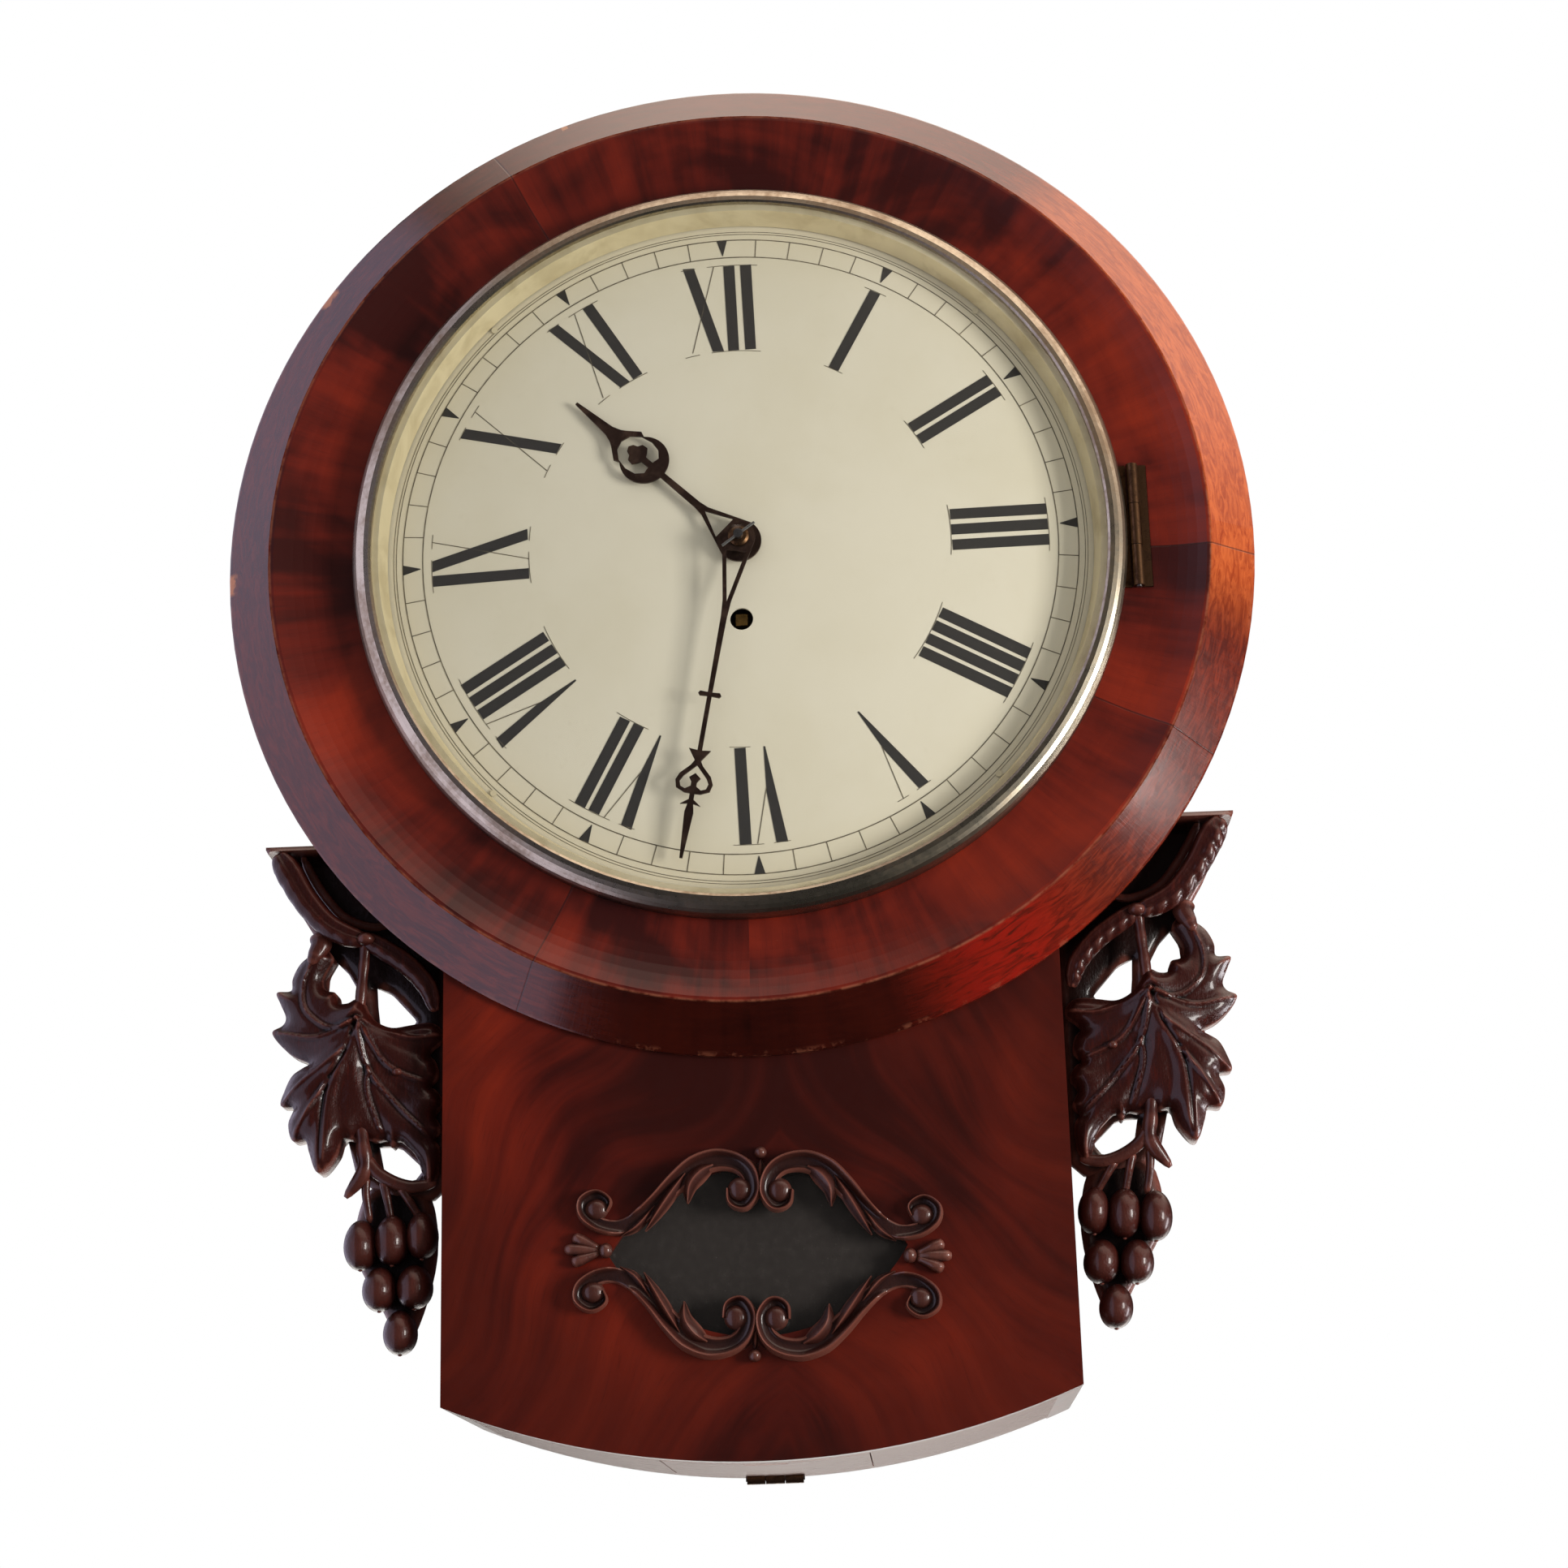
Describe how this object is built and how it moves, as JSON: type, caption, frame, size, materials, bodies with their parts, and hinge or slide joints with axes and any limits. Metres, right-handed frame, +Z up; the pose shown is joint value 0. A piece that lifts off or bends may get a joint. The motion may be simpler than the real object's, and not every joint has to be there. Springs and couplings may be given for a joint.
{
  "type": "drop dial wall clock",
  "caption": "Drop dial wall clock: round veneered surround, opening bezel, carved ears, scroll frame round the pendulum window, fusee movement inside.",
  "frame": {"origin": "centre of the hook hole, in the plane of the wall", "axes": "+Z up, +Y into the wall, +X to the viewer's right; the dial faces -Y"},
  "size_m": [0.4399, 0.1579, 0.6033],
  "materials": {
    "mahogany": "French-polished mahogany veneer",
    "carved mahogany": "Dark polished mahogany, carved",
    "plain wood": "Unpolished pine",
    "aged brass": "Brass with a dull patina",
    "bezel metal": "Worn cast brass, silvery grey",
    "gilt": "Gilt brass",
    "brass": "Clean brass",
    "steel": "Polished steel",
    "dark steel": "Browned steel",
    "dial paint": "Cream painted iron",
    "dial glass": "Clear domed glass",
    "window glass": "Glass over a dark box",
    "gut line": "Twisted gut"
  },
  "bodies": {
    "case": {"backboard": "plain wood", "side_left": "mahogany", "side_right": "mahogany", "box_top": "plain wood", "trunk_front": "mahogany", "bottom_board": "mahogany", "fixed_leaves": "aged brass", "hinge_pins": "steel", "dial_surround": "mahogany", "surround_battens": "plain wood", "case_pegs": "plain wood", "ear_left": "carved mahogany", "ear_right": "carved mahogany", "lenticle_frame": "carved mahogany", "lenticle_glass": "window glass", "hanging_plate": "aged brass", "screws": "aged brass", "dial": "dial paint", "posts": "steel", "front_plate": "brass", "back_plate": "brass", "pillars": "brass", "taper_pins": "steel", "barrel_arbor": "steel", "mainspring": "steel", "fusee_line": "gut line", "back_cock": "brass", "suspension_spring": "steel"},
    "bezel": {"bezel": "bezel metal", "bezel_glass": "dial glass", "sight_ring": "gilt", "bezel_hinge_leaf": "aged brass"},
    "minute": {"cannon_pinion": "brass", "minute_hand": "dark steel", "hand_collet": "brass"},
    "minute_stud_wheel": {"minute_wheel": "brass"},
    "hour": {"hour_wheel": "brass", "hour_hand": "dark steel"},
    "escape": {"escape_arbor": "steel", "escape_wheel": "brass"},
    "third": {"third_arbor": "steel", "third_wheel": "brass"},
    "centre": {"centre_arbor": "steel", "centre_wheel": "brass", "hand_pin": "steel"},
    "great": {"great_wheel": "brass"},
    "fusee_cone": {"fusee": "brass"},
    "spring_barrel": {"barrel": "brass", "barrel_cap": "brass"},
    "pendulum": {"pendulum_rod": "steel"},
    "anchor": {"pallets": "steel", "crutch": "steel"},
    "bob": {"pendulum_bob": "brass"},
    "nut": {"rating_nut": "brass"},
    "side_door_body": {"side_door": "mahogany", "side_door_leaves": "aged brass", "side_door_knob": "aged brass"},
    "bottom_door_body": {"bottom_door": "mahogany", "bottom_door_leaf": "aged brass"}
  },
  "joints": [
    {"name": "bezel_hinge", "type": "hinge", "parent": "case", "child": "bezel", "pos_m": [0.1686, -0.1387, -0.14], "axis": [0, 0, 1], "range_deg": [0, 110]},
    {"name": "minute_hand_turn", "type": "hinge", "parent": "case", "child": "minute", "pos_m": [0, -0.15, -0.14], "axis": [0, -1, 0], "continuous": true},
    {"name": "minute_wheel_turn", "type": "hinge", "parent": "case", "child": "minute_stud_wheel", "pos_m": [-0.0252, -0.121, -0.14], "axis": [0, -1, 0], "continuous": true},
    {"name": "hour_hand_turn", "type": "hinge", "parent": "case", "child": "hour", "pos_m": [0, -0.145, -0.14], "axis": [0, -1, 0], "continuous": true},
    {"name": "escape_turn", "type": "hinge", "parent": "case", "child": "escape", "pos_m": [0, -0.07, -0.104], "axis": [0, -1, 0], "continuous": true},
    {"name": "third_turn", "type": "hinge", "parent": "case", "child": "third", "pos_m": [0.01162, -0.081, -0.11935], "axis": [0, -1, 0], "continuous": true},
    {"name": "centre_turn", "type": "hinge", "parent": "case", "child": "centre", "pos_m": [0, -0.108, -0.14], "axis": [0, -1, 0], "continuous": true},
    {"name": "great_wheel_turn", "type": "hinge", "parent": "case", "child": "great", "pos_m": [0, -0.069, -0.174], "axis": [0, -1, 0], "continuous": true},
    {"name": "fusee_winding", "type": "hinge", "parent": "case", "child": "fusee_cone", "pos_m": [0, -0.09, -0.174], "axis": [0, -1, 0], "range_deg": [-2880, 2880]},
    {"name": "barrel_turn", "type": "hinge", "parent": "case", "child": "spring_barrel", "pos_m": [0, -0.09, -0.2315], "axis": [0, -1, 0], "range_deg": [-1700, 1700]},
    {"name": "pendulum_swing", "type": "hinge", "parent": "case", "child": "pendulum", "pos_m": [0, -0.0494, -0.0814], "axis": [0, -1, 0], "range_deg": [-2.5, 2.5]},
    {"name": "anchor_swing", "type": "hinge", "parent": "case", "child": "anchor", "pos_m": [0, -0.07, -0.0814], "axis": [0, -1, 0], "range_deg": [-2.5, 2.5]},
    {"name": "rating_nut_turn", "type": "hinge", "parent": "bob", "child": "nut", "pos_m": [0, -0.0494, -0.4574], "axis": [0, 0, 1], "range_deg": [-3640, 3640]},
    {"name": "bob_slide", "type": "slide", "parent": "pendulum", "child": "bob", "axis": [0, 0, 1], "range_m": [-0.00505, 0.00505]},
    {"name": "side_door_hinge", "type": "hinge", "parent": "case", "child": "side_door_body", "pos_m": [0.1288, -0.025, -0.15], "axis": [0, 0, 1], "range_deg": [0, 95]},
    {"name": "bottom_door_hinge", "type": "hinge", "parent": "case", "child": "bottom_door_body", "pos_m": [0, -0.022, -0.5209], "axis": [1, 0, 0], "range_deg": [0, 88]}
  ],
  "couplings": [
    {"joint": "minute_wheel_turn", "follows": "minute_hand_turn", "ratio": -1},
    {"joint": "hour_hand_turn", "follows": "minute_hand_turn", "ratio": 0.083333},
    {"joint": "third_turn", "follows": "escape_turn", "ratio": -0.1},
    {"joint": "centre_turn", "follows": "escape_turn", "ratio": 0.0097222},
    {"joint": "great_wheel_turn", "follows": "escape_turn", "ratio": -0.00081019},
    {"joint": "barrel_turn", "follows": "fusee_winding", "ratio": 0.574},
    {"joint": "anchor_swing", "follows": "pendulum_swing", "ratio": 1},
    {"joint": "rating_nut_turn", "follows": "bob_slide", "rad_per_m": 12566}
  ]
}
